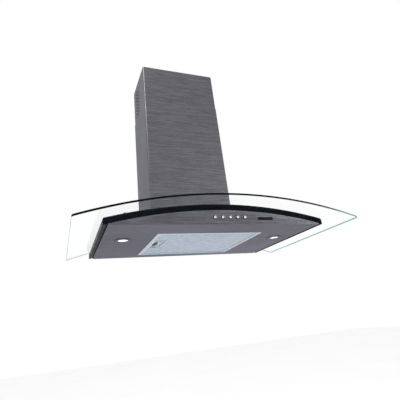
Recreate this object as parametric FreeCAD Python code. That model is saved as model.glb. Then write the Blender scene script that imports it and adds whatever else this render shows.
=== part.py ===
import FreeCAD, Part
import math
import os

V = FreeCAD.Vector
X_AXIS = V(1, 0, 0)
Y_AXIS = V(0, 1, 0)
Z_AXIS = V(0, 0, 1)

# Chimney range hood with a curved glass canopy. Millimetres.
# X runs left to right, Y towards the wall (the wall is the plane y = 0), Z up.
# Heights in this file are taken from the flat underside of the body; save() lowers
# everything by wall_holes_z, so that the origin is the centre of the wall fixing holes.

# ---- driving dimensions -------------------------------------------------------------
glass_width = 900.0
glass_thickness = 6.0
glass_overhang = 80.0
glass_corner_r = 6.0
body_width = 736.0
body_depth = 465.0
arch_rise = 46.0
frame_bar = 10.0
frame_side_bar = 14.0
frame_height = 17.0
gasket_height = 3.0
gasket_width = 7.0
sheet = 1.2
thin_sheet = 0.9
seat_gap = 0.05
frame_screw_shares = (0.17, 0.5, 0.86)
frame_screw_z = 9.0
frame_screw_r = 1.9
glass_screw_back_x = 250.0
glass_screw_front_x = 300.0
glass_screw_inset = 25.0
glass_screw_r = 2.4
glass_bush_r = 5.0
bush_proud = 2.4

filter_width = 380.0
filter_depth = 322.0
filter_front = 100.0
filter_gap = 1.5
filter_height = 11.0
filter_rim = 14.0
filter_sheet = 1.0
mesh_layers = 5
mesh_layer = 0.4
latch_forward = 11.0
latch_length = 44.0
latch_depth = 104.0
latch_dish = 7.0
slider_inset = 6.0
slider_length = 14.0
slider_depth = 44.0
slider_travel = 8.0
slider_ribs = 2
slider_rib_pitch = 5.0
bolt_half = 7.0
bolt_low = 3.5
bolt_high = 6.5
bolt_gap = 0.4

button_count = 5
button_pitch = 25.8
button_centre_x = 19.3
button_z = 23.3
button_r = 4.5
button_proud = 3.2
button_gap = 0.3
bezel_ring = 1.4
bezel_lip = 1.0
bezel_proud = 0.8
switch_gap = 7.0
switch_depth = 14.0
switch_half_height = 11.0
switch_margin = 17.0
switch_wall = 1.5
board_setback = 9.5
board_thickness = 1.6
badge_x = 145.0
badge_z = 19.0
badge_width = 54.0
badge_height = 9.0
badge_thickness = 0.8

lamp_from_side = 83.0
lamp_from_front = 178.0
lamp_r = 27.0
lamp_lens_r = 18.0
lamp_depth = 15.0
lamp_wall = 2.8
bulb_r = 4.8
bulb_base_r = 6.5

chimney_width = 332.0
chimney_depth = 208.0
lower_chimney_top = 620.0
chimney_top = 800.0
upper_chimney_length = 450.0
telescope_gap = 0.6
chimney_flange = 18.0
chimney_bend = 6.0
vent_slot_length = 16.0
vent_slot_height = 4.0
vent_pitch = 9.0
vent_rows = 16
vent_columns = 3
vent_top_gap = 34.0
vent_bridge = 8.0
vent_back = 44.0
bracket_height = 24.0
bracket_hole_dx = 180.0
bracket_hole_r = 3.0
bracket_screw_drop = 15.0
bracket_screw_y = -16.0
bracket_screw_r = 2.0
bracket_sheet = 1.5

blower_side_gap = 16.0
blower_front_gap = 9.0
blower_back = 9.0
blower_top = 330.0
scroll_width = 124.0
scroll_wall = 2.0
scroll_back_shift = 4.0
scroll_z = 190.0
scroll_front_gap = 9.0
scroll_side_step = 8.0
scroll_start_step = 4.0
scroll_throat_gap = 19.0
tongue_angle = 55.0
impeller_gap = 4.0
impeller_end_gap = 12.0
blade_count = 24
blade_depth = 12.0
blade_lean = 28.0
ring_thickness = 2.0
motor_r = 38.0
motor_start = 6.0
motor_bracket_rise = 2.2
shaft_r = 4.0
shaft_clearance = 0.05
capacitor_r = 15.0
capacitor_height = 52.0
terminal_side_inset = 28.0
terminal_front_inset = 27.0
terminal_half_x = 24.0
terminal_half_y = 22.0
terminal_height = 30.0
terminal_wall = 2.0
lead_hole_r = 5.0
gland_r = 6.5
gland_rise = 15.0
gland_bore_r = 4.0

collar_r = 75.0
collar_length = 56.0
collar_wall = 1.0
flange_half = 88.0
flange_notch_x = 84.0
flange_notch_length = 54.0
flap_gap = 1.0
flap_pin_r = 1.5
flap_pin_offset = 4.0
flap_pin_height = 20.0
flap_pin_inset = 0.5
flap_thickness = 1.0
flap_barrel_r = 2.8
running_gap = 0.05

wall_holes_z = 250.0
wall_hole_r = 4.0
wall_hole_dx = 240.0
wall_hole_dz = 120.0
plate_thickness = 2.0
plate_inset = 10.0
plate_below = 85.0
plate_above = 75.0
spacer_r = 7.0
spacer_dx = 60.0
spacer_dz = 40.0

# ---- worked out from them -----------------------------------------------------------
half_body = body_width / 2
half_glass = glass_width / 2
arch_r = (half_body ** 2 + arch_rise ** 2) / (2 * arch_rise)
arch_centre_z = arch_rise - arch_r
body_front = -body_depth
glass_front = body_front - glass_overhang
glass_under = frame_height + gasket_height
inner_half = half_body - frame_side_bar
inner_front = body_front + frame_bar
inner_back = -frame_bar
half_chimney = chimney_width / 2
chimney_front = -chimney_depth
filter_y0 = body_front + filter_front
filter_y1 = filter_y0 + filter_depth
half_filter = filter_width / 2
latch_y = (filter_y0 + filter_y1) / 2 - latch_forward
lamp_x = half_body - lamp_from_side
lamp_y = body_front + lamp_from_front
frame_screw_ys = [-body_depth * share for share in frame_screw_shares]
glass_screw_rows = ((glass_screw_back_x, inner_back - glass_screw_inset),
                    (glass_screw_front_x, inner_front + glass_screw_inset))
glass_screw_points = [(s * x, y) for x, y in glass_screw_rows for s in (-1, 1)]
switch_front = body_front + sheet + switch_gap
board_y = switch_front + board_setback
upper_inset = thin_sheet + telescope_gap
upper_half = half_chimney - upper_inset
upper_front = chimney_front + upper_inset
upper_back = -upper_inset
bracket_screw_z = chimney_top - bracket_screw_drop
blower_y0 = chimney_front + blower_front_gap
blower_y1 = -blower_back
blower_mid_y = (blower_y0 + blower_y1) / 2
half_blower = half_chimney - blower_side_gap
half_scroll = scroll_width / 2
scroll_y = blower_mid_y + scroll_back_shift
throat_y1 = blower_y1 - scroll_throat_gap
scroll_r_end = (blower_y1 - blower_y0) / 2 - scroll_front_gap
scroll_r_side = scroll_r_end - scroll_side_step
scroll_r_start = scroll_r_side - scroll_start_step
impeller_r = scroll_r_start - impeller_gap
motor_length = half_scroll + motor_bracket_rise + seat_gap - motor_start
impeller_width = scroll_width - 2 * impeller_end_gap
half_impeller = impeller_width / 2
inlet_r = impeller_r - blade_depth
terminal_x = half_blower - terminal_side_inset
terminal_y = blower_y0 + terminal_front_inset
terminal_x0 = terminal_x - terminal_half_x
terminal_x1 = terminal_x + terminal_half_x
terminal_y0 = terminal_y - terminal_half_y
terminal_y1 = terminal_y + terminal_half_y
gland_z = blower_top + gland_rise
collar_y = blower_mid_y
button_xs = [button_centre_x + (i - (button_count - 1) / 2) * button_pitch
             for i in range(button_count)]
flap_pin_z = blower_top + sheet + flap_pin_height


# ---- helpers ------------------------------------------------------------------------
def save(name, shape):
    """Write one node, with heights measured from the wall fixing holes."""
    placed = shape.copy()
    placed.translate(V(0, 0, -wall_holes_z))
    placed.exportStep("parts/" + name + ".step")


def box(x0, x1, y0, y1, z0, z1):
    return Part.makeBox(x1 - x0, y1 - y0, z1 - z0, V(x0, y0, z0))


def rod(radius, start, length, axis):
    return Part.makeCylinder(radius, length, start, axis)


def tube(outer, inner, start, length, axis):
    return rod(outer, start, length, axis).cut(rod(inner, start - axis, length + 2, axis))


def joined(shapes):
    first = shapes[0]
    return first.fuse(shapes[1:]).removeSplitter() if len(shapes) > 1 else first


def group(shapes):
    return Part.makeCompound(shapes)


def arch_z(x, offset=0.0):
    """Height of the arch, or of the arch that runs offset outside it, at x."""
    return arch_centre_z + math.sqrt((arch_r + offset) ** 2 - x ** 2)


def arch_edge(x_half, offset, y):
    ends = arch_z(x_half, offset)
    return Part.Arc(V(-x_half, y, ends), V(0, y, arch_z(0, offset)), V(x_half, y, ends)).toShape()


def arch_band(x_half, low, high, y0, y1):
    """Slab between two concentric arches, cut off upright at its ends."""
    bottom = arch_edge(x_half, low, y0)
    top = arch_edge(x_half, high, y0)
    sides = [Part.makeLine(V(s * x_half, y0, arch_z(x_half, low)), V(s * x_half, y0, arch_z(x_half, high)))
             for s in (-1, 1)]
    face = Part.Face(Part.Wire(Part.__sortEdges__([bottom, top] + sides)))
    return face.extrude(V(0, y1 - y0, 0))


def arch_segment(x_half, z_flat, offset, y0, y1):
    """Bow-shaped plate: flat below, following the arch above."""
    top = arch_edge(x_half, offset, y0)
    ends = arch_z(x_half, offset)
    flat = Part.makeLine(V(-x_half, y0, z_flat), V(x_half, y0, z_flat))
    sides = [Part.makeLine(V(s * x_half, y0, z_flat), V(s * x_half, y0, ends)) for s in (-1, 1)]
    face = Part.Face(Part.Wire(Part.__sortEdges__([top, flat] + sides)))
    return face.extrude(V(0, y1 - y0, 0))


def arch_trim(shape):
    """Trim a shape so that it stands on the canopy deck with a hair of clearance."""
    below = rod(arch_r + frame_height + seat_gap, V(0, glass_front - 10, arch_centre_z),
                body_depth + 200, Y_AXIS)
    return shape.cut(below)


def slot_prism(length, height, thickness, centre):
    """Round-ended slot cutter: long along Y, cutting through along X."""
    r = height / 2
    half = length / 2 - r
    start = centre - X_AXIS * (thickness / 2)
    middle = box(start.x, start.x + thickness, centre.y - half, centre.y + half, centre.z - r, centre.z + r)
    ends = [rod(r, start + Y_AXIS * (s * half), thickness, X_AXIS) for s in (-1, 1)]
    return joined([middle] + ends)


def pan_screw(head_r, head_height, shank_r, length, seat, axis):
    """Screw seated at seat, its shank running along axis and its head the other way."""
    head = rod(head_r, seat - axis * head_height, head_height, axis)
    shank = rod(shank_r, seat, length, axis)
    cross = [box(-head_r * 0.55, head_r * 0.55, -0.4, 0.4, -0.8, 0.8),
             box(-0.4, 0.4, -head_r * 0.55, head_r * 0.55, -0.8, 0.8)]
    turn = FreeCAD.Rotation(Z_AXIS, axis)
    recess = joined(cross)
    recess.Placement = FreeCAD.Placement(seat - axis * head_height, turn)
    return joined([head, shank]).cut(recess)


# ---- canopy body --------------------------------------------------------------------
def canopy_frame():
    ring = arch_band(half_body, 0, frame_height, body_front, 0)
    window = box(-inner_half, inner_half, inner_front, inner_back, -20, arch_rise + 60)
    holes = [rod(frame_screw_r, V(s * (inner_half - 1), y, frame_screw_z), 7, X_AXIS * s)
             for y in frame_screw_ys for s in (-1, 1)]
    return ring.cut([window] + holes)


def base_tray():
    edge = inner_half - seat_gap
    front = body_front + sheet + seat_gap
    flat = box(-edge, edge, front, 0, 0, sheet)
    back = arch_segment(edge, 0, -seat_gap, -sheet, 0)
    sides = [box(min(s * edge, s * (edge - sheet)), max(s * edge, s * (edge - sheet)),
                 inner_front + 12, inner_back - 12, 0, 14.5) for s in (-1, 1)]
    opening = box(-half_filter, half_filter, filter_y0, filter_y1, -5, 5)
    lamps = [rod(lamp_lens_r + lamp_wall + 0.2, V(s * lamp_x, lamp_y, -5), 10, Z_AXIS) for s in (-1, 1)]
    screws = [rod(frame_screw_r + 0.2, V(s * (edge - 5), y, frame_screw_z), 10, X_AXIS * s)
              for y in frame_screw_ys for s in (-1, 1)]
    return joined([flat, back] + sides).cut([opening] + lamps + screws)


def control_fascia():
    edge = inner_half - seat_gap
    plate = arch_segment(edge, 0, -seat_gap, body_front, body_front + sheet)
    holes = [rod(button_r + bezel_ring, V(x, body_front - 5, button_z), 10, Y_AXIS) for x in button_xs]
    return plate.cut(holes)


def canopy_deck():
    edge = inner_half - seat_gap
    plate = arch_band(edge, frame_height - sheet, frame_height, inner_front + seat_gap, inner_back - seat_gap)
    opening = box(-half_blower + 12, half_blower - 12, blower_y0 + 12, blower_y1 - 12, 20, 100)
    holes = [rod(glass_screw_r, V(x, y, 0), 100, Z_AXIS) for x, y in glass_screw_points]
    return plate.cut([opening] + holes)


def glass_gasket():
    low = frame_height
    high = frame_height + gasket_height
    inset = (frame_bar - gasket_width) / 2
    ring = arch_band(half_body - inset, low, high, body_front + inset, -inset)
    hole_half = half_body - inset - gasket_width
    hole = box(-hole_half, hole_half, inner_front - inset, inner_back + inset, -20, 120)
    rear = box(-half_chimney - 3, half_chimney + 3, -frame_bar - 1, 1, 0, 200)
    return ring.cut([hole, rear])


def glass_canopy():
    slab = arch_band(half_glass, glass_under, glass_under + glass_thickness, glass_front, 0)
    corners = [e for e in slab.Edges
               if abs(abs(e.CenterOfMass.x) - half_glass) < 0.01 and e.Length < glass_thickness * 1.5]
    slab = slab.makeFillet(glass_corner_r, corners)
    notch = box(-half_chimney - 3, half_chimney + 3, chimney_front - 3, 10, 0, 200)
    holes = [rod(glass_bush_r, V(x, y, -10), 200, Z_AXIS) for x, y in glass_screw_points]
    return slab.cut([notch] + holes)


def upright_screw(x, y, z_top):
    return pan_screw(6.5, 2.6, glass_screw_r - seat_gap, 16, V(x, y, z_top), -Z_AXIS)


def glass_bushes():
    rings = []
    for x, y in glass_screw_points:
        low = arch_z(x, frame_height) + 0.6
        top = arch_z(x, glass_under + glass_thickness) + bush_proud
        outer = glass_bush_r - seat_gap
        bore = glass_screw_r + seat_gap
        stem = tube(outer, bore, V(x, y, low + 1), top - low - 2.8, Z_AXIS)
        cap = tube(outer + 3, bore, V(x, y, top - 0.2), 1.2, Z_AXIS)
        collar = tube(outer, bore, V(x, y, top - 2), 2, Z_AXIS)
        rings.append(joined([stem, collar, cap]))
    return group(rings)


def glass_screws():
    return group([upright_screw(x, y, arch_z(x, glass_under + glass_thickness) + bush_proud + 1.0)
                  for x, y in glass_screw_points])


def frame_screws():
    seat = inner_half - seat_gap - sheet
    shank_r = frame_screw_r - seat_gap
    return group([pan_screw(3.6, 2.0, shank_r, 6.5, V(s * seat, y, frame_screw_z), X_AXIS * s)
                  for y in frame_screw_ys for s in (-1, 1)])


def badge():
    plate = box(badge_x - badge_width / 2, badge_x + badge_width / 2,
                body_front - badge_thickness, body_front,
                badge_z - badge_height / 2, badge_z + badge_height / 2)
    edges = [e for e in plate.Edges if abs(e.tangentAt(e.FirstParameter).y) > 0.9]
    return plate.makeFillet(2.0, edges)


# ---- controls -----------------------------------------------------------------------
def button(x):
    start = V(x, body_front - button_proud, button_z)
    cap = rod(button_r, start, button_proud + sheet + 1.5, Y_AXIS)
    rim = [e for e in cap.Edges if abs(e.CenterOfMass.y - start.y) < 0.01 and len(e.Vertexes) == 1]
    cap = cap.makeFillet(0.9, rim)
    stem = rod(1.6, V(x, body_front + sheet + 1, button_z), 5, Y_AXIS)
    return joined([cap, stem])


def button_bezels():
    inner = button_r + button_gap
    outer = button_r + bezel_ring
    rings = []
    for x in button_xs:
        start = V(x, body_front - bezel_proud, button_z)
        sleeve = tube(outer - seat_gap, inner, start, bezel_proud + sheet, Y_AXIS)
        lip = tube(outer + bezel_lip, inner, start, bezel_proud, Y_AXIS)
        rings.append(joined([sleeve, lip]))
    return group(rings)


def switch_housing():
    x0 = button_xs[0] - switch_margin
    x1 = button_xs[-1] + switch_margin
    z0 = button_z - switch_half_height
    z1 = button_z + switch_half_height
    wall = switch_wall
    back = switch_front + switch_depth
    shell = box(x0, x1, switch_front, back, z0, z1)
    hollow = box(x0 + wall, x1 - wall, switch_front + wall, back + 5, z0 + wall, z1 - wall)
    holes = [rod(2.2, V(x, switch_front - 2, button_z), 6, Y_AXIS) for x in button_xs]
    ears = [box(a, b, body_front + sheet, switch_front + wall, z0, z0 + wall)
            for a, b in ((x0, x0 + 8), (x1 - 8, x1))]
    return joined([shell] + ears).cut([hollow] + holes)


def switch_board():
    half_height = switch_half_height - 2
    overhang = switch_margin - 2
    return box(button_xs[0] - overhang, button_xs[-1] + overhang, board_y, board_y + board_thickness,
               button_z - half_height, button_z + half_height)


def button_switches():
    """Five tactile switches on the board, in line with the button stems."""
    return group([box(x - 3, x + 3, board_y - 3.6, board_y, button_z - 3, button_z + 3) for x in button_xs])


# ---- filter -------------------------------------------------------------------------
cassette_x0 = -half_filter + filter_gap
cassette_x1 = half_filter - filter_gap
cassette_y0 = filter_y0 + filter_gap
cassette_y1 = filter_y1 - filter_gap
latch_x0 = cassette_x0 + filter_rim
latch_x1 = latch_x0 + latch_length
latch_y0 = latch_y - latch_depth / 2
latch_y1 = latch_y + latch_depth / 2
slider_x0 = latch_x0 + slider_inset
slider_x1 = slider_x0 + slider_length
slider_y0 = latch_y - slider_depth / 2
slider_y1 = latch_y + slider_depth / 2


def filter_frame():
    body = box(cassette_x0, cassette_x1, cassette_y0, cassette_y1, 0, filter_height)
    edges = [e for e in body.Edges if abs(e.tangentAt(e.FirstParameter).z) > 0.9]
    body = body.makeFillet(2.5, edges)
    inner = box(cassette_x0 + filter_sheet, cassette_x1 - filter_sheet, cassette_y0 + filter_sheet,
                cassette_y1 - filter_sheet, filter_sheet, filter_height - filter_sheet)
    window = box(cassette_x0 + filter_rim, cassette_x1 - filter_rim, cassette_y0 + filter_rim,
                 cassette_y1 - filter_rim, -1, filter_height + 1)
    return body.cut([inner, window])


def filter_mesh():
    """The stack of mesh layers that fills the cassette, each layer as one thin sheet."""
    inset = filter_sheet + 0.2
    pocket = box(latch_x0 - 0.5, latch_x1 + 0.5, latch_y0 - 0.5, latch_y1 + 0.5, 0, latch_dish + 2.2)
    bolt_way = box(cassette_x0, latch_x0 + 1, latch_y - bolt_half - 2, latch_y + bolt_half + 2,
                   bolt_low - 1.5, bolt_high + 1.1)
    clear_height = filter_height - 2 * inset - mesh_layer
    layers = []
    for i in range(mesh_layers):
        z = inset + clear_height * i / (mesh_layers - 1)
        layer = box(cassette_x0 + inset, cassette_x1 - inset, cassette_y0 + inset, cassette_y1 - inset,
                    z, z + mesh_layer)
        layers.append(layer.cut([pocket, bolt_way]))
    return group(layers)


def bolt_cutter(x0, x1):
    """Way for the latch bolt, with its running gap all round."""
    return box(x0, x1, latch_y - bolt_half - bolt_gap, latch_y + bolt_half + bolt_gap,
               bolt_low - bolt_gap, bolt_high + bolt_gap)


def latch_housing():
    """Dished plate let into the mesh, with two lips that hold the slider."""
    shell = box(latch_x0, latch_x1, latch_y0, latch_y1, 0.2, latch_dish + 1.4)
    edges = [e for e in shell.Edges if abs(e.tangentAt(e.FirstParameter).z) > 0.9]
    shell = shell.makeFillet(3.0, edges)
    dish = box(latch_x0 + 3, latch_x1 - 3, latch_y0 + 3, latch_y1 - 3, -1, latch_dish)
    dish_edges = [e for e in dish.Edges if abs(e.tangentAt(e.FirstParameter).z) > 0.9]
    dish = dish.makeFillet(4.0, dish_edges)
    lips = [box(slider_x0 - 4, slider_x1 + slider_travel + 4, a, b, 2.0, latch_dish)
            for a, b in ((slider_y0 - 7, slider_y0 - 0.4), (slider_y1 + 0.4, slider_y1 + 7))]
    return joined([shell.cut(dish)] + lips).cut(bolt_cutter(latch_x0 - 2, latch_x0 + 5))


def latch_slider():
    grip = box(slider_x0, slider_x1, slider_y0, slider_y1, 1.0, latch_dish - 0.4)
    edges = [e for e in grip.Edges if abs(e.tangentAt(e.FirstParameter).z) > 0.9]
    grip = grip.makeFillet(3.0, edges)
    rib_x0 = slider_x0 + slider_length / 2 - slider_ribs * slider_rib_pitch / 2 + 1.2
    ribs = [box(rib_x0 + i * slider_rib_pitch, rib_x0 + i * slider_rib_pitch + 2.6,
                slider_y0 + 5, slider_y1 - 5, 0, 2.0) for i in range(slider_ribs)]
    bolt = box(cassette_x0 - 1.0, slider_x0 + 2, latch_y - bolt_half, latch_y + bolt_half,
               bolt_low, bolt_high)
    return joined([grip] + ribs + [bolt])


def bolt_slot(shape):
    """The cassette's end wall is open where the latch bolt passes."""
    return shape.cut(bolt_cutter(cassette_x0 - 1, cassette_x0 + filter_rim + 1))


def filter_hooks():
    """Two sheet hooks on the cassette's hinged end, which lie on the tray's edge."""
    hooks = []
    for y in (cassette_y0 + 40, cassette_y1 - 70):
        tongue = box(cassette_x1 - 10, cassette_x1 + 9, y, y + 30, filter_height, filter_height + 1.0)
        drop = box(cassette_x1 + 8, cassette_x1 + 9, y, y + 30, sheet + 0.6, filter_height + 1.0)
        hooks.append(joined([tongue, drop]))
    return group(hooks)


# ---- lamps --------------------------------------------------------------------------
def lamp_bezel(s):
    centre = V(s * lamp_x, lamp_y, 0)
    flange = tube(lamp_r, lamp_lens_r - 1.5, centre - Z_AXIS * 2.0, 2.0, Z_AXIS)
    outer = [e for e in flange.Edges if abs(e.CenterOfMass.z + 2.0) < 0.01 and e.Length > 6.1 * lamp_r]
    flange = flange.makeFillet(1.4, outer)
    sleeve = tube(lamp_lens_r + lamp_wall, lamp_lens_r + 0.1, centre, lamp_depth, Z_AXIS)
    return joined([flange, sleeve])


def lamp_lens(s):
    centre = V(s * lamp_x, lamp_y, 0)
    return rod(lamp_lens_r, centre + Z_AXIS * seat_gap, 2.5, Z_AXIS)


def lamp_reflector(s):
    centre = V(s * lamp_x, lamp_y, 2.8)
    outer = Part.makeCone(lamp_lens_r - 0.2, 11.0, lamp_depth - 4, centre, Z_AXIS)
    inner = Part.makeCone(lamp_lens_r - 1.4, 9.8, lamp_depth - 4, centre, Z_AXIS)
    return outer.cut(inner)


def lamp_holder(s):
    centre = V(s * lamp_x, lamp_y, lamp_depth)
    cap = rod(lamp_lens_r + lamp_wall, centre, 2.0, Z_AXIS)
    hole = rod(bulb_base_r + seat_gap, centre - Z_AXIS, 5, Z_AXIS)
    return cap.cut(hole)


def lamp_bulb(s):
    centre = V(s * lamp_x, lamp_y, lamp_depth - 6.8)
    capsule = rod(bulb_r, centre, lamp_depth - centre.z, Z_AXIS)
    dome = Part.makeSphere(bulb_r, centre)
    below = box(centre.x - 10, centre.x + 10, lamp_y - 10, lamp_y + 10, 0, centre.z)
    base = rod(bulb_base_r, centre + Z_AXIS * (lamp_depth - centre.z), 5.0, Z_AXIS)
    return joined([capsule, dome.common(below), base])


# ---- chimney ------------------------------------------------------------------------
def chimney_shell(half_width, front, z0, z1, t, bend):
    """Three-sided sheet cover with returned flanges against the wall."""
    outer = box(-half_width, half_width, front, 0, z0, z1)
    inner = box(-half_width + t, half_width - t, front + t, -t, z0 - 1, z1 + 1)
    outer_bends = [e for e in outer.Edges if abs(e.CenterOfMass.y - front) < 0.01
                   and abs(e.tangentAt(e.FirstParameter).z) > 0.9]
    inner_bends = [e for e in inner.Edges if abs(e.CenterOfMass.y - front - t) < 0.01
                   and abs(e.tangentAt(e.FirstParameter).z) > 0.9]
    shell = outer.makeFillet(bend, outer_bends).cut(inner.makeFillet(bend - t, inner_bends))
    rear = box(-half_width + chimney_flange, half_width - chimney_flange, -t - 1, 1, z0 - 1, z1 + 1)
    return shell.cut(rear)


def lower_chimney():
    shell = chimney_shell(half_chimney, chimney_front, 30, lower_chimney_top, thin_sheet, chimney_bend)
    return arch_trim(shell)


def upper_chimney():
    shell = chimney_shell(upper_half, upper_front - upper_back, chimney_top - upper_chimney_length,
                          chimney_top, thin_sheet, chimney_bend - upper_inset)
    shell.translate(V(0, upper_back, 0))
    step = vent_slot_length + vent_bridge
    cutters = []
    for row in range(vent_rows):
        z = chimney_top - vent_top_gap - row * vent_pitch
        shift = (row % 2) * step / 2
        for column in range(vent_columns):
            y = -vent_back - column * step - shift
            for s in (-1, 1):
                cutters.append(slot_prism(vent_slot_length, vent_slot_height, 6, V(s * upper_half, y, z)))
    hole_r = bracket_screw_r + 0.1
    holes = [rod(hole_r, V(s * (upper_half - 3), bracket_screw_y, bracket_screw_z), 6, X_AXIS * s)
             for s in (-1, 1)]
    return shell.cut(cutters + holes)


def chimney_bracket():
    """Wall strip with two ears that the upper cover is screwed to."""
    ear_x = upper_half - thin_sheet - seat_gap
    z0 = chimney_top - bracket_height - 3
    z1 = chimney_top - 3
    back = upper_back - thin_sheet - seat_gap
    ear_in = ear_x - bracket_sheet
    ear_front = bracket_screw_y - bracket_height / 2
    strip = box(-ear_x, ear_x, back - bracket_sheet, back, z0, z1)
    ears = [box(min(s * ear_x, s * ear_in), max(s * ear_x, s * ear_in), ear_front, back, z0, z1)
            for s in (-1, 1)]
    holes = [rod(bracket_hole_r, V(s * bracket_hole_dx / 2, back - 5, bracket_screw_z), 10, Y_AXIS)
             for s in (-1, 1)]
    hole_r = bracket_screw_r + 0.1
    ear_holes = [rod(hole_r, V(s * (ear_x - 5), bracket_screw_y, bracket_screw_z), 10, X_AXIS * s)
                 for s in (-1, 1)]
    return joined([strip] + ears).cut(holes + ear_holes)


def chimney_screws():
    seats = [(s, V(s * upper_half, bracket_screw_y, bracket_screw_z)) for s in (-1, 1)]
    return group([pan_screw(3.6, 1.8, bracket_screw_r, 6, seat, X_AXIS * -s) for s, seat in seats])


# ---- blower -------------------------------------------------------------------------
def scroll_profile(grow, x0, x1, z_top):
    """Volute section in the YZ plane, grown outwards by grow, between x0 and x1."""
    cy = scroll_y
    cz = scroll_z
    r_side = scroll_r_side + grow
    r_end = scroll_r_end + grow
    r_start = scroll_r_start + grow
    end_cz = cz + scroll_r_end - scroll_r_side
    start_cy = cy + scroll_r_side - scroll_r_start
    tongue = math.radians(tongue_angle)
    diag = math.radians(45)

    def at(centre_y, centre_z, radius, angle):
        return V(x0, centre_y + radius * math.cos(angle), centre_z + radius * math.sin(angle))

    p0 = at(start_cy, cz, r_start, tongue)
    p1 = at(start_cy, cz, r_start, 0)
    p2 = at(cy, cz, r_side, -math.pi / 2)
    p3 = at(cy, end_cz, r_end, math.pi)
    p4 = V(x0, p3.y, z_top)
    p5 = V(x0, throat_y1 + grow, z_top)
    edges = [
        Part.Arc(p0, at(start_cy, cz, r_start, tongue / 2), p1).toShape(),
        Part.Arc(p1, at(cy, cz, r_side, -diag), p2).toShape(),
        Part.Arc(p2, at(cy, end_cz, r_end, math.pi + diag), p3).toShape(),
        Part.makeLine(p3, p4),
        Part.makeLine(p4, p5),
        Part.makeLine(p5, p0),
    ]
    return Part.Face(Part.Wire(edges)).extrude(V(x1 - x0, 0, 0))


def blower_scroll():
    outer = scroll_profile(scroll_wall, -half_scroll, half_scroll, blower_top - sheet - seat_gap)
    inner = scroll_profile(0, -half_scroll + scroll_wall, half_scroll - scroll_wall, blower_top + 10)
    inlet = rod(inlet_r, V(-half_scroll - 5, scroll_y, scroll_z), scroll_width + 10, X_AXIS)
    return outer.cut([inner, inlet])


def blower_box():
    outer = box(-half_blower, half_blower, blower_y0, blower_y1, 20, blower_top)
    inner = box(-half_blower + sheet, half_blower - sheet, blower_y0 + sheet, blower_y1 - sheet,
                10, blower_top - sheet)
    outlet = box(-half_scroll + scroll_wall, half_scroll - scroll_wall,
                 scroll_y - scroll_r_end, throat_y1, blower_top - 5, blower_top + 5)
    lead = rod(lead_hole_r, V(terminal_x, terminal_y, blower_top - 5), 10, Z_AXIS)
    plate_holes = [rod(wall_hole_r + 4, V(x, -20, z), 30, Y_AXIS) for x, z in wall_hole_points()]
    return arch_trim(outer.cut(inner)).cut([outlet, lead] + plate_holes)


def wall_hole_points():
    return [(sx * wall_hole_dx / 2, wall_holes_z + sz * wall_hole_dz / 2) for sx in (-1, 1) for sz in (-1, 1)]


def hanging_plate():
    """Plate that hangs on the wall screws and carries the blower box."""
    half = half_blower - plate_inset
    plate = box(-half, half, -plate_thickness, 0, wall_holes_z - plate_below, wall_holes_z + plate_above)
    spacer_length = blower_back - plate_thickness - seat_gap + 0.5
    spacers = [rod(spacer_r, V(sx * spacer_dx, blower_y1 + seat_gap, wall_holes_z + sz * spacer_dz),
                   spacer_length, Y_AXIS) for sx in (-1, 1) for sz in (-1, 1)]
    holes = [rod(wall_hole_r, V(x, -10, z), 20, Y_AXIS) for x, z in wall_hole_points()]
    return joined([plate] + spacers).cut(holes)


def motor():
    start = V(motor_start, scroll_y, scroll_z)
    can = rod(motor_r, start, motor_length, X_AXIS)
    rims = [e for e in can.Edges if len(e.Vertexes) == 1]
    can = can.makeFillet(3.0, rims)
    nose = rod(9.0, start - X_AXIS * 4, 5, X_AXIS)
    bore = rod(shaft_r + shaft_clearance, start - X_AXIS * 6, motor_length - 10, X_AXIS)
    return joined([can, nose]).cut(bore)


def motor_bracket():
    """Three arms from the motor's back to the scroll's side."""
    x0 = half_scroll + seat_gap
    centre = V(x0 + motor_bracket_rise, scroll_y, scroll_z)
    ring = tube(20, 12, centre, 1.5, X_AXIS)
    arms = []
    for i in range(3):
        arm = box(0, 1.5, -6, 6, 14, inlet_r + 8)
        foot = box(-motor_bracket_rise, 0.5, -6, 6, inlet_r + 1, inlet_r + 8)
        piece = joined([arm, foot])
        piece.rotate(V(0, 0, 0), X_AXIS, 60 + 120 * i)
        piece.translate(centre)
        arms.append(piece)
    return joined([ring] + arms)


def motor_shaft():
    return rod(shaft_r, V(-10, scroll_y, scroll_z), motor_length - 3, X_AXIS)


def impeller_hub():
    """Centre disc and boss, pressed on the motor shaft."""
    centre = V(0, scroll_y, scroll_z)
    disc = rod(impeller_r - blade_depth - seat_gap, centre - X_AXIS * 1.5, 1.5, X_AXIS)
    boss = rod(10, centre - X_AXIS * 9.5, 9.5, X_AXIS)
    bore = rod(shaft_r, centre - X_AXIS * 20, 40, X_AXIS)
    return joined([disc, boss]).cut(bore)


def impeller_rings():
    """The two end rings and the middle ring that carry the blades."""
    centre = V(0, scroll_y, scroll_z)
    return group([tube(impeller_r, impeller_r - blade_depth, centre + X_AXIS * x, ring_thickness, X_AXIS)
                  for x in (-half_impeller, -ring_thickness, half_impeller - ring_thickness)])


def impeller_blades():
    """Forward-leaning blades between the rings, each a strip of its own."""
    centre = V(0, scroll_y, scroll_z)
    spans = ((-half_impeller + ring_thickness, -ring_thickness), (0, half_impeller - ring_thickness))
    blades = []
    for i in range(blade_count):
        for x0, x1 in spans:
            blade = box(x0, x1, -0.6, 0.6, impeller_r - blade_depth + 0.3, impeller_r - 0.6)
            blade.rotate(V(0, 0, impeller_r - blade_depth / 2), X_AXIS, blade_lean)
            blade.rotate(V(0, 0, 0), X_AXIS, i * 360.0 / blade_count)
            blade.translate(centre)
            blades.append(blade)
    return group(blades)


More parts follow.
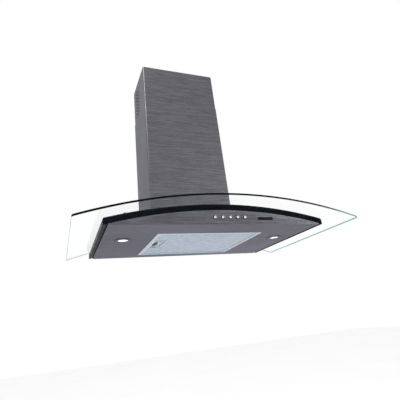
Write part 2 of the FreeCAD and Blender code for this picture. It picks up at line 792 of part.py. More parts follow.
def capacitor():
    can = rod(capacitor_r, V(-terminal_x, terminal_y, blower_top), capacitor_height, Z_AXIS)
    rims = [e for e in can.Edges if len(e.Vertexes) == 1 and e.CenterOfMass.z > blower_top + 1]
    return can.makeFillet(2.0, rims)


def terminal_block(inset, z0, z1):
    """Upright block in the terminal box's outline, drawn in by inset."""
    return box(terminal_x0 + inset, terminal_x1 - inset, terminal_y0 + inset, terminal_y1 - inset, z0, z1)


def terminal_box():
    top = blower_top + terminal_height
    shell = terminal_block(0, blower_top, top)
    hollow = terminal_block(terminal_wall, blower_top + terminal_wall, top + 5)
    lead = rod(lead_hole_r, V(terminal_x, terminal_y, blower_top - 5), 10, Z_AXIS)
    gland = rod(gland_r, V(terminal_x, terminal_y1 - 5, gland_z), 10, Y_AXIS)
    return shell.cut([hollow, lead, gland])


def terminal_cover():
    z = blower_top + terminal_height
    lid = terminal_block(0, z, z + 2)
    lip = terminal_block(terminal_wall + 0.3, z - 3, z + 0.5)
    lip_hollow = terminal_block(terminal_wall + 2, z - 4, z)
    return joined([lid, lip]).cut(lip_hollow)


def cable_gland():
    body = rod(gland_r - seat_gap, V(terminal_x, terminal_y1 - 4, gland_z), 10, Y_AXIS)
    collar = rod(gland_r + 3, V(terminal_x, terminal_y1 + seat_gap, gland_z), 4, Y_AXIS)
    nut = rod(gland_r + 1.5, V(terminal_x, terminal_y1 + 4, gland_z), 9, Y_AXIS)
    bore = rod(gland_bore_r, V(terminal_x, terminal_y1 - 10, gland_z), 30, Y_AXIS)
    return joined([body, collar, nut]).cut(bore)


def outlet_flange():
    """Plate on the blower box that the collar stands on; two corners leave room for other pieces."""
    front = collar_y - flange_half - 2
    plate = box(-flange_half, flange_half, front, collar_y + flange_half - 2, blower_top, blower_top + sheet)
    beyond = flange_half + 10
    notches = [box(min(s * flange_notch_x, s * beyond), max(s * flange_notch_x, s * beyond), front - 5,
                   front + flange_notch_length, blower_top - 1, blower_top + 5) for s in (-1, 1)]
    hole = rod(collar_r - collar_wall, V(0, collar_y, blower_top - 5), 10, Z_AXIS)
    return plate.cut(notches + [hole])


def outlet_collar():
    """Round spigot for the duct."""
    start = V(0, collar_y, blower_top + sheet)
    spigot = tube(collar_r, collar_r - collar_wall, start, collar_length - sheet, Z_AXIS)
    pin_holes = [rod(flap_pin_r + running_gap, V(-collar_r - 5, collar_y + s * flap_pin_offset, flap_pin_z),
                     2 * collar_r + 10, X_AXIS) for s in (-1, 1)]
    return spigot.cut(pin_holes)


def damper_pins():
    half = collar_r - flap_pin_inset
    return group([rod(flap_pin_r, V(-half, collar_y + s * flap_pin_offset, flap_pin_z), 2 * half, X_AXIS)
                  for s in (-1, 1)])


def damper_flap(s):
    """Half-round flap hinged beside the collar's centre line; s is the side it lies on."""
    pin_y = collar_y + s * flap_pin_offset
    radius = collar_r - collar_wall - flap_gap
    disc = rod(radius, V(0, collar_y, flap_pin_z - flap_thickness / 2), flap_thickness, Z_AXIS)
    keep = (pin_y, collar_y + 200) if s > 0 else (collar_y - 200, pin_y)
    half = disc.common(box(-200, 200, keep[0], keep[1], flap_pin_z - 5, flap_pin_z + 5))
    barrel_half = radius - 3
    barrel = rod(flap_barrel_r, V(-barrel_half, pin_y, flap_pin_z), 2 * barrel_half, X_AXIS)
    bore = rod(flap_pin_r + running_gap, V(-200, pin_y, flap_pin_z), 400, X_AXIS)
    return joined([half, barrel]).cut(bore)


# ---- write the nodes ----------------------------------------------------------------
os.makedirs("parts", exist_ok=True)
save("canopy_frame", canopy_frame())
save("base_tray", base_tray())
save("control_fascia", control_fascia())
save("canopy_deck", canopy_deck())
save("glass_gasket", glass_gasket())
save("glass_canopy", glass_canopy())
save("glass_bushes", glass_bushes())
save("glass_screws", glass_screws())
save("frame_screws", frame_screws())
save("badge", badge())
for number, button_x in enumerate(button_xs, 1):
    save("button_" + str(number), button(button_x))
save("button_bezels", button_bezels())
save("switch_housing", switch_housing())
save("switch_board", switch_board())
save("button_switches", button_switches())
save("filter_frame", bolt_slot(filter_frame()))
save("filter_mesh", filter_mesh())
save("filter_hooks", filter_hooks())
save("latch_housing", latch_housing())
save("latch_slider", latch_slider())
for side, sign in (("left", -1), ("right", 1)):
    save("lamp_bezel_" + side, lamp_bezel(sign))
    save("lamp_lens_" + side, lamp_lens(sign))
    save("lamp_reflector_" + side, lamp_reflector(sign))
    save("lamp_holder_" + side, lamp_holder(sign))
    save("lamp_bulb_" + side, lamp_bulb(sign))
save("lower_chimney", lower_chimney())
save("upper_chimney", upper_chimney())
save("chimney_bracket", chimney_bracket())
save("chimney_screws", chimney_screws())
save("blower_box", blower_box())
save("blower_scroll", blower_scroll())
save("hanging_plate", hanging_plate())
save("motor", motor())
save("motor_bracket", motor_bracket())
save("motor_shaft", motor_shaft())
save("impeller_hub", impeller_hub())
save("impeller_rings", impeller_rings())
save("impeller_blades", impeller_blades())
save("capacitor", capacitor())
save("terminal_box", terminal_box())
save("terminal_cover", terminal_cover())
save("cable_gland", cable_gland())
save("outlet_flange", outlet_flange())
save("outlet_collar", outlet_collar())
save("damper_pins", damper_pins())
for side, sign in (("front", -1), ("back", 1)):
    save("damper_flap_" + side, damper_flap(sign))
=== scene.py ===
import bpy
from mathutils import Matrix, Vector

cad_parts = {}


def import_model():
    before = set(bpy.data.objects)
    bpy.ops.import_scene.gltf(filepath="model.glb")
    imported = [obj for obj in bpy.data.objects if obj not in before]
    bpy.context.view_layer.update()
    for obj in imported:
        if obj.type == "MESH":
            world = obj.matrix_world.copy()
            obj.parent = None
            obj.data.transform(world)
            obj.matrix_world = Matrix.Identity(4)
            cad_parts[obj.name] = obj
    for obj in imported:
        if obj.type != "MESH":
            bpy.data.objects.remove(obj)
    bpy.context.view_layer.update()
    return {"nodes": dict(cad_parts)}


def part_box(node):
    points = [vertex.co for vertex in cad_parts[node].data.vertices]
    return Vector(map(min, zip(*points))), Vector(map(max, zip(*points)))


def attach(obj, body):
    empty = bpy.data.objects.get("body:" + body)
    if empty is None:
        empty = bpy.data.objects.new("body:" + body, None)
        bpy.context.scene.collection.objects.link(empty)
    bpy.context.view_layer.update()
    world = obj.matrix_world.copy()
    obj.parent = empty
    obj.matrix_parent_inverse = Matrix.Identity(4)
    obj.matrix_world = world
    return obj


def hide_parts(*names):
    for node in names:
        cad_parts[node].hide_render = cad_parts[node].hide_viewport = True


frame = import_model()

import math

import bmesh
import bpy
from mathutils import Matrix, Vector

# A chimney range hood with a curved glass canopy. Metres, in the frame of the CAD model:
# X to the right, Y into the wall, Z up, origin at the wall fixing holes.
MM = 0.001
BUTTONS = range(1, 6)

# ---- places and sizes read from the frame -------------------------------------------
glass_low, glass_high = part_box("glass_canopy")
frame_low, frame_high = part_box("canopy_frame")
lower_low, lower_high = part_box("lower_chimney")
upper_low, upper_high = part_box("upper_chimney")
cassette_low, cassette_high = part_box("filter_frame")
latch_low, latch_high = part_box("latch_housing")

UNDERSIDE = frame_low.z
HALF_BODY = frame_high.x
ARCH_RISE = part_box("control_fascia")[1].z - UNDERSIDE
ARCH_R = (HALF_BODY ** 2 + ARCH_RISE ** 2) / (2 * ARCH_RISE)
ARCH_CENTRE_Z = UNDERSIDE + ARCH_RISE - ARCH_R

# ---- glass sizes --------------------------------------------------------------------
NOTCH_GAP = 3 * MM               # between the chimney and the notch cut for it
NOTCH_X = lower_high.x + NOTCH_GAP
NOTCH_Y = lower_low.y - NOTCH_GAP
GLASS_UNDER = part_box("glass_gasket")[1].z - UNDERSIDE - ARCH_RISE
GLASS_THICK = glass_high.z - UNDERSIDE - ARCH_RISE - GLASS_UNDER
GLASS_CORNER = 6 * MM
CORNER_STEPS = 6
GLASS_BEVEL = 0.8 * MM
STATION_PITCH = 11 * MM          # of the mesh across the arch
STATION_GAP = 2 * MM             # a station nearer to the notch's side than this is left out

# ---- grease filter mesh sizes -------------------------------------------------------
MESH_RIM = 13.2 * MM             # from the cassette's outline to the mesh
MESH_RISE = 4.4 * MM             # from the cassette's underside to the outer layer
LAYER_GAP = 1.6 * MM
LATCH_MARGIN = 0.6 * MM
STRAND_TOUCH = 0.35              # share of a strand's width by which it meets its neighbour
STRAND_TILT = 0.35               # share of a strand's thickness by which its edges rise and fall

# ---- vent screen sizes --------------------------------------------------------------
SCREEN_INSET = 1.7 * MM          # from the cover's outer face
SCREEN_FRONT = 60 * MM           # from the cover's front
SCREEN_BACK = 22 * MM            # from the cover's back
SCREEN_FOOT = 186 * MM           # from the cover's top down to the screen's foot
SCREEN_HEAD = 29 * MM            # from the cover's top down to the screen's head
WIRE_WIDTH = 1.5 * MM
WIRE_THICK = 0.3 * MM
WIRE_PITCH = 2.1 * MM
WIRE_LAYER = 0.35 * MM           # from the wires that lie level to the upright ones

# ---- button sizes -------------------------------------------------------------------
CAP_DEPTH = 5.9 * MM
STEM_R = 1.6 * MM

# ---- stage --------------------------------------------------------------------------
FLOOR_Z = UNDERSIDE - 1.35
FLOOR_HALF = 14.0
CAMERA_PLACE = (-0.47065, frame_low.y - 0.92221, UNDERSIDE - 0.26983)
CAMERA_YAW, CAMERA_PITCH, CAMERA_ROLL = 0.3927, 0.3934, -0.1130
SENSOR_WIDTH = 36.0
LENS = 30.987
SHIFT_X, SHIFT_Y = 0.015, -0.05


# ---- shader nodes -------------------------------------------------------------------
def material(name):
    """A new material, its node tree and its shader."""
    made = bpy.data.materials.new(name)
    made.use_nodes = True
    return made, made.node_tree, made.node_tree.nodes["Principled BSDF"]


def node(tree, kind, **settings):
    made = tree.nodes.new(kind)
    for key, value in settings.items():
        setattr(made, key, value)
    return made


def mapped(tree, scale):
    """Object coordinates, stretched by scale."""
    coords = node(tree, "ShaderNodeTexCoord")
    mapping = node(tree, "ShaderNodeMapping")
    mapping.inputs["Scale"].default_value = scale
    tree.links.new(coords.outputs["Object"], mapping.inputs["Vector"])
    return mapping.outputs["Vector"]


def noise(tree, scale, detail, roughness=0.55):
    """Noise in object space, with its fineness along each axis given by scale."""
    made = node(tree, "ShaderNodeTexNoise")
    made.inputs["Scale"].default_value = 1.0
    made.inputs["Detail"].default_value = detail
    made.inputs["Roughness"].default_value = roughness
    tree.links.new(mapped(tree, scale), made.inputs["Vector"])
    return made.outputs["Fac"]


def ramp(tree, source, low, high):
    """Colour that follows source; low and high are each a place on the ramp and a colour."""
    made = node(tree, "ShaderNodeValToRGB")
    for element, (place, colour) in zip(made.color_ramp.elements, (low, high)):
        element.position = place
        element.color = (*colour, 1.0)
    tree.links.new(source, made.inputs["Fac"])
    return made.outputs["Color"]


def spread(tree, source, low, high, low_in=0.3, high_in=0.7):
    """Number from low to high that follows source."""
    made = node(tree, "ShaderNodeMapRange")
    made.inputs["From Min"].default_value = low_in
    made.inputs["From Max"].default_value = high_in
    made.inputs["To Min"].default_value = low
    made.inputs["To Max"].default_value = high
    tree.links.new(source, made.inputs["Value"])
    return made.outputs["Result"]


def bump(tree, shader, height, strength, distance):
    made = node(tree, "ShaderNodeBump")
    made.inputs["Strength"].default_value = strength
    made.inputs["Distance"].default_value = distance
    tree.links.new(height, made.inputs["Height"])
    tree.links.new(made.outputs["Normal"], shader.inputs["Normal"])


def grey(value, warmth=0.0):
    return (value * (1 + warmth), value, value * (1 - warmth))


def even(scale):
    return (scale, scale, scale)


# ---- kinds of material --------------------------------------------------------------
def brushed(name, dark, light, grain, roughness=(0.3, 0.42), anisotropy=0.55, strength=0.25,
            edge=(1.0, 1.0, 1.0)):
    """Brushed sheet: fine scratches over broader streaks, with a cloudy sheen.

    The scratches run along the axis where grain is low. Edge tints what shows at a glancing angle.
    """
    fine_share = 0.55
    broad_scale = 0.22
    mat, tree, shader = material(name)
    fine = noise(tree, grain, 3.0, 0.6)
    broad = noise(tree, tuple(g * broad_scale for g in grain), 2.0)
    cloud = noise(tree, even(3.0), 3.0)
    broad_part = node(tree, "ShaderNodeMath", operation="MULTIPLY")
    broad_part.inputs[1].default_value = 1 - fine_share
    tree.links.new(broad, broad_part.inputs[0])
    streaks = node(tree, "ShaderNodeMath", operation="MULTIPLY_ADD")
    streaks.inputs[1].default_value = fine_share
    tree.links.new(fine, streaks.inputs[0])
    tree.links.new(broad_part.outputs[0], streaks.inputs[2])
    tree.links.new(ramp(tree, streaks.outputs[0], (0.4, dark), (0.6, light)), shader.inputs["Base Color"])
    tree.links.new(spread(tree, cloud, *roughness), shader.inputs["Roughness"])
    shader.inputs["Specular Tint"].default_value = (*edge, 1.0)
    shader.inputs["Metallic"].default_value = 1.0
    shader.inputs["Anisotropic"].default_value = anisotropy
    bump(tree, shader, fine, strength, 0.06 * MM)
    return mat


def painted(name, colour, light, roughness):
    """Powder-coated steel: faint orange peel and rubbed, paler patches."""
    mat, tree, shader = material(name)
    peel = noise(tree, even(900.0), 2.0)
    rub = noise(tree, even(14.0), 5.0, 0.7)
    tree.links.new(ramp(tree, rub, (0.35, colour), (0.75, light)), shader.inputs["Base Color"])
    tree.links.new(spread(tree, rub, roughness - 0.05, roughness + 0.1), shader.inputs["Roughness"])
    shader.inputs["Specular IOR Level"].default_value = 0.015
    bump(tree, shader, peel, 0.15, 0.1 * MM)
    return mat


def plastic(name, colour, light, roughness=0.5, texture=1400.0):
    """Moulded plastic with a fine spark-eroded texture."""
    mat, tree, shader = material(name)
    grain = noise(tree, even(texture), 2.0)
    tone = noise(tree, even(25.0), 4.0)
    tree.links.new(ramp(tree, tone, (0.35, colour), (0.7, light)), shader.inputs["Base Color"])
    tree.links.new(spread(tree, grain, roughness - 0.06, roughness + 0.08), shader.inputs["Roughness"])
    bump(tree, shader, grain, 0.2, 0.1 * MM)
    return mat


def galvanised(name):
    """Zinc-coated sheet with its spangle."""
    mat, tree, shader = material(name)
    spangle = node(tree, "ShaderNodeTexVoronoi")
    spangle.inputs["Scale"].default_value = 1.0
    tree.links.new(mapped(tree, even(95.0)), spangle.inputs["Vector"])
    tone = node(tree, "ShaderNodeSeparateColor")
    tree.links.new(spangle.outputs["Color"], tone.inputs["Color"])
    colour = ramp(tree, tone.outputs["Red"], (0.0, grey(0.36, -0.02)), (1.0, grey(0.56, -0.03)))
    tree.links.new(colour, shader.inputs["Base Color"])
    tree.links.new(spread(tree, tone.outputs["Green"], 0.32, 0.5, 0.0, 1.0), shader.inputs["Roughness"])
    shader.inputs["Metallic"].default_value = 1.0
    bump(tree, shader, tone.outputs["Blue"], 0.08, 0.2 * MM)
    return mat


def polished(name, colour, roughness):
    """Bright metal, a little smeared."""
    mat, tree, shader = material(name)
    smear = noise(tree, even(60.0), 4.0)
    smeared = tuple(c * 0.94 for c in colour)
    tree.links.new(ramp(tree, smear, (0.3, smeared), (0.7, colour)), shader.inputs["Base Color"])
    tree.links.new(spread(tree, smear, roughness * 0.7, roughness * 1.6), shader.inputs["Roughness"])
    shader.inputs["Metallic"].default_value = 1.0
    return mat


def clear_glass(name, tint, roughness, ior=1.45):
    """Clear glass whose tint varies slightly."""
    mat, tree, shader = material(name)
    haze = noise(tree, even(7.0), 3.0)
    paler = tuple(min(1.0, c * 1.01) for c in tint)
    tree.links.new(ramp(tree, haze, (0.3, tint), (0.7, paler)), shader.inputs["Base Color"])
    shader.inputs["Roughness"].default_value = roughness
    shader.inputs["Transmission Weight"].default_value = 1.0
    shader.inputs["IOR"].default_value = ior
    return mat


def frosted(name, tint, glint_glow):
    """Pressed lamp glass that glows faintly in patches: the glow is a painted highlight, a glint on the lens.
    """
    mat, tree, shader = material(name)
    patch = noise(tree, even(70.0), 3.0)
    shaded = tuple(0.8 * c for c in tint)
    tree.links.new(ramp(tree, patch, (0.35, shaded), (0.65, tint)), shader.inputs["Base Color"])
    # Painted highlight: the emission makes the lens glow in patches, as a glint on it would.
    tree.links.new(spread(tree, patch, 0.7 * glint_glow, 1.3 * glint_glow), shader.inputs["Emission Strength"])
    shader.inputs["Emission Color"].default_value = (*tint, 1.0)
    shader.inputs["Roughness"].default_value = 0.35
    shader.inputs["Transmission Weight"].default_value = 0.6
    return mat


# ---- materials of the hood ----------------------------------------------------------
ACROSS = (55.0, 55.0, 1100.0)
UNDER = (55.0, 1100.0, 1100.0)
steel_chimney = brushed("steel_chimney", (0.148, 0.146, 0.158), (0.248, 0.245, 0.262), ACROSS)
# The underside's steel is a darker copy of the chimney's steel: painted shade for the faces that look down.
steel_under_painted_shade = brushed("steel_under_painted_shade", (0.085, 0.085, 0.098), (0.140, 0.139, 0.158), UNDER,
                      edge=(0.68, 0.67, 0.74))
steel_fascia = brushed("steel_fascia", (0.135, 0.130, 0.142), (0.225, 0.218, 0.236), ACROSS,
                       edge=(0.5, 0.5, 0.58))
badge_metal = brushed("badge_metal", grey(0.008), grey(0.03), (300.0, 5.0, 900.0), edge=grey(0.2))
cassette_metal = brushed("cassette_metal", (0.36, 0.41, 0.49), (0.50, 0.56, 0.66), even(500.0),
                         (0.28, 0.4), 0.2, 0.1)
mesh_metal = brushed("mesh_metal", (0.27, 0.32, 0.40), (0.40, 0.47, 0.57), even(260.0),
                     (0.3, 0.45), 0.0, 0.1)
latch_metal = brushed("latch_metal", (0.50, 0.56, 0.58), (0.62, 0.69, 0.71), (5.0, 800.0, 800.0))
capacitor_can = brushed("capacitor_can", grey(0.55), grey(0.7), (5.0, 5.0, 700.0))
zinc = galvanised("zinc")
fastener = polished("fastener", (0.62, 0.62, 0.64), 0.18)
chrome = polished("chrome", (0.82, 0.82, 0.84), 0.06)
bright_reflector = polished("bright_reflector", (0.86, 0.86, 0.84), 0.12)
black_frame = painted("black_frame", (0.0030, 0.0038, 0.0060), (0.0065, 0.0080, 0.0120), 0.3)
motor_steel = painted("motor_steel", (0.16, 0.17, 0.18), (0.24, 0.25, 0.27), 0.4)
rubber = plastic("rubber", grey(0.008), grey(0.014), 0.75, 700.0)
nylon = plastic("nylon", (0.62, 0.62, 0.60), (0.72, 0.72, 0.70), 0.45)
black_plastic = plastic("black_plastic", grey(0.014), grey(0.028))
fan_plastic = plastic("fan_plastic", (0.03, 0.03, 0.033), (0.05, 0.05, 0.055), 0.42)
grip_plastic = plastic("grip_plastic", (0.006, 0.0065, 0.008), (0.014, 0.015, 0.017), 0.45)
board_green = plastic("board_green", (0.012, 0.10, 0.035), (0.02, 0.16, 0.06), 0.35, 300.0)
ceramic = plastic("ceramic", (0.66, 0.63, 0.57), (0.74, 0.71, 0.65), 0.6, 600.0)
# The lamp glass glows: a painted highlight for the glint on each lens.
lamp_glass = frosted("lamp_glass", (0.95, 0.92, 0.93), 0.42)
bulb_glass = clear_glass("bulb_glass", (0.98, 0.98, 0.96), 0.02)
canopy_glass = clear_glass("canopy_glass", (0.985, 1.0, 0.992), 0.0, 1.06)
glass_edge = clear_glass("glass_edge", (0.09, 0.28, 0.24), 0.2, 1.2)

worn_by = (
    (steel_chimney, "lower_chimney upper_chimney"),
    (steel_under_painted_shade, "base_tray lamp_bezel_left lamp_bezel_right"),
    (steel_fascia, "control_fascia"),
    (badge_metal, "badge"),
    (cassette_metal, "filter_frame"),
    (mesh_metal, "filter_mesh"),
    (latch_metal, "latch_housing"),
    (capacitor_can, "capacitor"),
    (zinc, "canopy_deck blower_box hanging_plate chimney_bracket motor_bracket filter_hooks"),
    (zinc, "outlet_flange outlet_collar"),
    (fastener, "glass_screws frame_screws chimney_screws damper_pins motor_shaft"),
    (chrome, " ".join("button_" + str(number) for number in BUTTONS)),
    (bright_reflector, "lamp_reflector_left lamp_reflector_right"),
    (black_frame, "canopy_frame"),
    (motor_steel, "motor"),
    (rubber, "glass_gasket"),
    (nylon, "glass_bushes"),
    (black_plastic, "button_bezels switch_housing button_switches terminal_box terminal_cover"),
    (black_plastic, "cable_gland blower_scroll damper_flap_front damper_flap_back"),
    (fan_plastic, "impeller_hub impeller_rings impeller_blades"),
    (grip_plastic, "latch_slider"),
    (board_green, "switch_board"),
    (ceramic, "lamp_holder_left lamp_holder_right"),
    (lamp_glass, "lamp_lens_left lamp_lens_right"),
    (bulb_glass, "lamp_bulb_left lamp_bulb_right"),
    (canopy_glass, "glass_canopy"),
)
node_material = {name: mat for mat, names in worn_by for name in names.split()}
for name, cad in frame["nodes"].items():
    if not cad.material_slots:
        cad.data.materials.append(node_material[name])
    for slot in cad.material_slots:
        slot.material = node_material[name]


# ---- mesh helpers -------------------------------------------------------------------
def piece(name, bm, *mats, smooth=True):
    """A new object with this mesh and these materials."""
    mesh = bpy.data.meshes.new(name)
    bm.to_mesh(mesh)
    bm.free()
    made = bpy.data.objects.new(name, mesh)
    bpy.context.scene.collection.objects.link(made)
    for mat in mats:
        mesh.materials.append(mat)
    if smooth:
        mesh.shade_smooth()
    return made


def modifier(obj, kind, **values):
    made = obj.modifiers.new(kind.title(), kind)
    for key, value in values.items():
        setattr(made, key, value)


def tube_wall(bm, first, second):
    """Quads between two rings of as many points."""
    for i in range(len(first)):
        j = (i + 1) % len(first)
        bm.faces.new((first[i], first[j], second[j], second[i]))


def lathe(profile, centre, axis, steps):
    """Closed surface of revolution; profile is (radius, height) pairs that begin and end on the axis."""
    bm = bmesh.new()
    turn = Vector((0, 0, 1)).rotation_difference(Vector(axis)).to_matrix()
    angles = [2 * math.pi * i / steps for i in range(steps)]
    rings = []
    for radius, height in profile:
        points = [(0, 0, height)]
        if radius > 0:
            points = [(radius * math.cos(a), radius * math.sin(a), height) for a in angles]
        rings.append([bm.verts.new(Vector(centre) + turn @ Vector(point)) for point in points])
    for low, high in zip(rings, rings[1:]):
        if len(low) == len(high):
            tube_wall(bm, low, high)
            continue
        for i in range(steps):
            j = (i + 1) % steps
            bm.faces.new((low[0], high[j], high[i]) if len(low) == 1 else (low[i], low[j], high[0]))
    bmesh.ops.recalc_face_normals(bm, faces=bm.faces)
    return bm


# ---- glass canopy -------------------------------------------------------------------
def arch_height(x, offset):
    """Height at x of the arch that runs offset outside the body's own."""
    return ARCH_CENTRE_Z + math.sqrt((ARCH_R + offset) ** 2 - x ** 2)


def setback(x):
    """How far the rounded corner draws the glass's front and back edges in at x."""
    over = max(0.0, abs(x) - glass_high.x + GLASS_CORNER)
    return GLASS_CORNER - math.sqrt(max(0.0, GLASS_CORNER ** 2 - over ** 2))


def glass_stations():
    """Places across the glass: evenly spaced, closer round the corners, and one at each side of the notch."""
    half = glass_high.x
    count = 2 * round(half / STATION_PITCH)
    spaced = [-half + 2 * half * k / count for k in range(1, count)]
    kept = [x for x in spaced if abs(x) < half - GLASS_CORNER and abs(abs(x) - NOTCH_X) > STATION_GAP]
    turns = [math.sin(math.pi / 2 * k / CORNER_STEPS) for k in range(CORNER_STEPS + 1)]
    rounds = [half - GLASS_CORNER + GLASS_CORNER * turn for turn in turns]
    return sorted(kept + [NOTCH_X, -NOTCH_X] + rounds + [-x for x in rounds])


def glass_face(bm, stations, offset):
    """Quads of one face of the glass, notched at the back; returns its points by station and row."""
    points = {}
    for i, x in enumerate(stations):
        rows = [glass_low.y + setback(x), (glass_low.y + NOTCH_Y) / 2, NOTCH_Y]
        if abs(x) >= NOTCH_X:
            rows.append(glass_high.y - setback(x))
        for j, y in enumerate(rows):
            points[i, j] = bm.verts.new((x, y, arch_height(x, offset)))
    for i in range(len(stations) - 1):
        beside_notch = abs(stations[i] + stations[i + 1]) / 2 > NOTCH_X
        for j in range(3 if beside_notch else 2):
            corners = ((i, j), (i + 1, j), (i + 1, j + 1), (i, j + 1))
            bm.faces.new([points[corner] for corner in corners])
    return points


def glass_panel():
    """Bent glass sheet: rounded outer corners, a notch round the chimney and a softened, ground edge."""
    bm = bmesh.new()
    stations = glass_stations()
    lower = glass_face(bm, stations, GLASS_UNDER)
    upper = glass_face(bm, stations, GLASS_UNDER + GLASS_THICK)
    above = {lower[key]: upper[key] for key in lower}
    rim = [edge for edge in bm.edges if len(edge.link_faces) == 1 and edge.verts[0] in above]
    for edge in rim:
        start, end = edge.verts
        wall = bm.faces.new((start, end, above[end], above[start]))
        wall.material_index = 1
    bmesh.ops.recalc_face_normals(bm, faces=bm.faces)
    panel = piece("glass_panel", bm, canopy_glass, glass_edge)
    modifier(panel, "BEVEL", width=GLASS_BEVEL, segments=2, limit_method="ANGLE",
             angle_limit=math.radians(50))
    modifier(panel, "EDGE_SPLIT", split_angle=math.radians(15))
    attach(panel, "root")
    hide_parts("glass_canopy")


# ---- grease filter mesh -------------------------------------------------------------
def strand(bm, run, z, width, thick):
    """One zigzag ribbon through the run's points, tilted to and fro, with closed ends."""
    if len(run) < 2:
        return
    section = ((-width / 2, 0), (width / 2, 0), (width / 2, thick), (-width / 2, thick))
    rings = []
    for x, y, side in run:
        tilt = side * thick * STRAND_TILT
        ring = []
        for dy, dz in section:
            lift = tilt if dy > 0 else -tilt
            ring.append(bm.verts.new((x, y + dy, z + dz + lift)))
        rings.append(ring)
    for before, after in zip(rings, rings[1:]):
        tube_wall(bm, before, after)
    bm.faces.new(list(reversed(rings[0])))
    bm.faces.new(rings[-1])


def on_latch(x, y):
    return (latch_low.x - LATCH_MARGIN < x < latch_high.x + LATCH_MARGIN
            and latch_low.y - LATCH_MARGIN < y < latch_high.y + LATCH_MARGIN)


def expanded_layer(name, rise, pitch_x, pitch_y, width, thick, shift):
    """Expanded metal: zigzag strands that touch their neighbours and leave diamond holes."""
    z = cassette_low.z + rise
    x0, x1 = cassette_low.x + MESH_RIM, cassette_high.x - MESH_RIM
    y0, y1 = cassette_low.y + MESH_RIM, cassette_high.y - MESH_RIM
    rows = int((y1 - y0) / pitch_y)
    columns = int((x1 - x0) / pitch_x * 2)
    bm = bmesh.new()
    for row in range(rows + 1):
        y = y0 + (row + shift) * pitch_y
        if y > y1 - pitch_y / 2:
            continue
        run = []
        for column in range(columns + 1):
            x = x0 + column * pitch_x / 2
            side = 1 if (column + row) % 2 else -1
            centre = y + side * (pitch_y / 2 - width * STRAND_TOUCH)
            if on_latch(x, centre):
                strand(bm, run, z, width, thick)
                run = []
            else:
                run.append((x, centre, side))
        strand(bm, run, z, width, thick)
    bmesh.ops.recalc_face_normals(bm, faces=bm.faces)
    made = piece(name, bm, mesh_metal, smooth=False)
    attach(made, "filter")


# ---- vent screens: painted shade behind the vent holes ------------------------------
def vent_screen(side):
    """Woven black screen behind the vents on one side of the upper chimney cover: painted shade that makes
    the vent holes show dark.
    """
    outer_x = side * (upper_high.x - SCREEN_INSET)
    inner_x = outer_x - side * WIRE_LAYER
    y0, y1 = upper_low.y + SCREEN_FRONT, upper_high.y - SCREEN_BACK
    z0, z1 = upper_high.z - SCREEN_FOOT, upper_high.z - SCREEN_HEAD
    bm = bmesh.new()

    def wire(x, y_low, y_high, z_low, z_high):
        outline = ((y_low, z_low), (y_high, z_low), (y_high, z_high), (y_low, z_high))
        near = [bm.verts.new((x, y, z)) for y, z in outline]
        far = [bm.verts.new((x - side * WIRE_THICK, y, z)) for y, z in outline]
        bm.faces.new(near)
        bm.faces.new(list(reversed(far)))
        tube_wall(bm, far, near)

    for k in range(int((z1 - z0) / WIRE_PITCH)):
        z = z0 + k * WIRE_PITCH
        wire(outer_x, y0, y1, z, z + WIRE_WIDTH)
    for k in range(int((y1 - y0) / WIRE_PITCH)):
        y = y0 + k * WIRE_PITCH
        wire(inner_x, y, y + WIRE_WIDTH, z0, z1)
    bmesh.ops.recalc_face_normals(bm, faces=bm.faces)
    made = piece("vent_screen_" + ("left" if side < 0 else "right"), bm, black_plastic, smooth=False)
    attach(made, "chimney_cover")


# ---- lamps and buttons --------------------------------------------------------------
def fluted_lens(side):
    """Pressed lamp glass: a dished disc with concentric prisms."""
    low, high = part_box("lamp_lens_" + side)
    centre = ((low.x + high.x) / 2, (low.y + high.y) / 2, low.z)
    radius = (high.x - low.x) / 2
    thick = high.z - low.z
    prisms = 9
    prism_pitch = 0.9 * radius / prisms
    profile = [(0, 0.25 * thick)]
    for i in range(prisms):
        profile += [((i + 0.5) * prism_pitch, 0.05 * thick), ((i + 1) * prism_pitch, 0.3 * thick)]
    profile += [(radius * 0.96, 0.0), (radius, 0.12 * thick), (radius, thick), (0, thick)]
    made = piece("lamp_glass_" + side, lathe(profile, centre, (0, 0, 1), 72), lamp_glass)
    modifier(made, "EDGE_SPLIT", split_angle=math.radians(50))
    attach(made, "root")
    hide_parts("lamp_lens_" + side)


def push_button(number):
    """Chromed cap with a dished face and a rolled rim, on its round stem."""
    name = "button_" + str(number)
    low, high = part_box(name)
    centre = ((low.x + high.x) / 2, low.y, (low.z + high.z) / 2)
    r = (high.x - low.x) / 2
    depth = high.y - low.y
    dish = [(0, 0.55 * MM), (0.35 * r, 0.5 * MM), (0.62 * r, 0.25 * MM), (0.74 * r, 0.0)]
    rolled_rim = [(0.86 * r, 0.08 * MM), (0.95 * r, 0.35 * MM), (r, 0.9 * MM)]
    cap_back = [(r, CAP_DEPTH - 0.2 * MM), (0.94 * r, CAP_DEPTH)]
    stem = [(STEM_R, CAP_DEPTH), (STEM_R, depth), (0, depth)]
    profile = dish + rolled_rim + cap_back + stem
    made = piece("push_button_" + str(number), lathe(profile, centre, (0, 1, 0), 48), chrome)
    modifier(made, "EDGE_SPLIT", split_angle=math.radians(50))
    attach(made, name)
    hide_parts(name)


glass_panel()
expanded_layer("mesh_outer", rise=MESH_RISE, pitch_x=5.2 * MM, pitch_y=3.4 * MM, width=0.9 * MM,
               thick=0.35 * MM, shift=0.5)
expanded_layer("mesh_inner", rise=MESH_RISE + LAYER_GAP, pitch_x=6.4 * MM, pitch_y=4.2 * MM, width=1.1 * MM,
               thick=0.4 * MM, shift=0.8)
for side in (-1, 1):
    vent_screen(side)
for side in ("left", "right"):
    fluted_lens(side)
for number in BUTTONS:
    push_button(number)


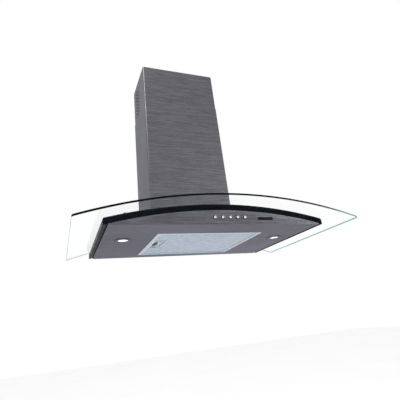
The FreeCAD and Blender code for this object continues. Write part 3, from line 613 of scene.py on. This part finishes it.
# ---- floor, light and camera --------------------------------------------------------
def floor():
    """Pale painted floor, far below the hood."""
    bm = bmesh.new()
    bmesh.ops.create_grid(bm, x_segments=1, y_segments=1, size=FLOOR_HALF,
                          matrix=Matrix.Translation((0, 0, FLOOR_Z)))
    mat, tree, shader = material("floor_paint")
    tone = noise(tree, even(0.8), 3.0)
    tree.links.new(ramp(tree, tone, (0.3, grey(0.96)), (0.7, grey(0.985))), shader.inputs["Base Color"])
    shader.inputs["Roughness"].default_value = 0.9
    plane = piece("floor", bm, mat, smooth=False)


def area_light(name, place, target, size, watts):
    data = bpy.data.lights.new(name, "AREA")
    data.shape = "RECTANGLE"
    data.size, data.size_y = size
    data.energy = watts
    made = bpy.data.objects.new(name, data)
    made.location = place
    made.rotation_mode = "QUATERNION"
    made.rotation_quaternion = (Vector(target) - Vector(place)).to_track_quat("-Z", "Y")
    bpy.context.scene.collection.objects.link(made)


def world():
    """White surroundings behind and through the glass; dimmer ones for what the metal reflects."""
    made = bpy.data.worlds.new("studio")
    made.use_nodes = True
    tree = made.node_tree
    tree.nodes.clear()
    white = node(tree, "ShaderNodeBackground")
    white.inputs["Color"].default_value = (1, 1, 1, 1)
    white.inputs["Strength"].default_value = 1.0
    dim = node(tree, "ShaderNodeBackground")
    dim.inputs["Color"].default_value = (0.93, 0.95, 1.0, 1)
    dim.inputs["Strength"].default_value = 0.62
    path = node(tree, "ShaderNodeLightPath")
    mirrored = node(tree, "ShaderNodeMath", operation="SUBTRACT", use_clamp=True)
    tree.links.new(path.outputs["Is Glossy Ray"], mirrored.inputs[0])
    tree.links.new(path.outputs["Is Transmission Ray"], mirrored.inputs[1])
    mix = node(tree, "ShaderNodeMixShader")
    tree.links.new(mirrored.outputs[0], mix.inputs["Fac"])
    tree.links.new(white.outputs[0], mix.inputs[1])
    tree.links.new(dim.outputs[0], mix.inputs[2])
    out = node(tree, "ShaderNodeOutputWorld")
    tree.links.new(mix.outputs[0], out.inputs["Surface"])
    bpy.context.scene.world = made


def camera():
    """View from below and to the left of the hood's front."""
    flat = math.cos(CAMERA_PITCH)
    forward = Vector((math.sin(CAMERA_YAW) * flat, math.cos(CAMERA_YAW) * flat, math.sin(CAMERA_PITCH)))
    level = Vector((math.cos(CAMERA_YAW), -math.sin(CAMERA_YAW), 0))
    over = level.cross(forward)
    right = level * math.cos(CAMERA_ROLL) + over * math.sin(CAMERA_ROLL)
    up = over * math.cos(CAMERA_ROLL) - level * math.sin(CAMERA_ROLL)
    data = bpy.data.cameras.new("camera")
    data.sensor_width = SENSOR_WIDTH
    data.lens = LENS
    data.shift_x = SHIFT_X
    data.shift_y = SHIFT_Y
    data.clip_start = 0.01
    data.clip_end = 60.0
    made = bpy.data.objects.new("camera", data)
    turn = Matrix((right, up, -forward)).transposed().to_4x4()
    made.matrix_world = Matrix.Translation(CAMERA_PLACE) @ turn
    bpy.context.scene.collection.objects.link(made)
    bpy.context.scene.camera = made


floor()
world()
area_light("key", (-2.2, -2.4, 3.6), (0, -0.2, 0), (2.4, 2.4), 90)
area_light("fill", (2.6, -2.2, 0.6), (0, -0.2, 0), (2.0, 2.0), 8)
area_light("under", (-0.6, -1.6, -1.4), (0, -0.3, -0.2), (1.6, 1.0), 14)
camera()
bpy.context.scene.view_settings.view_transform = "Standard"
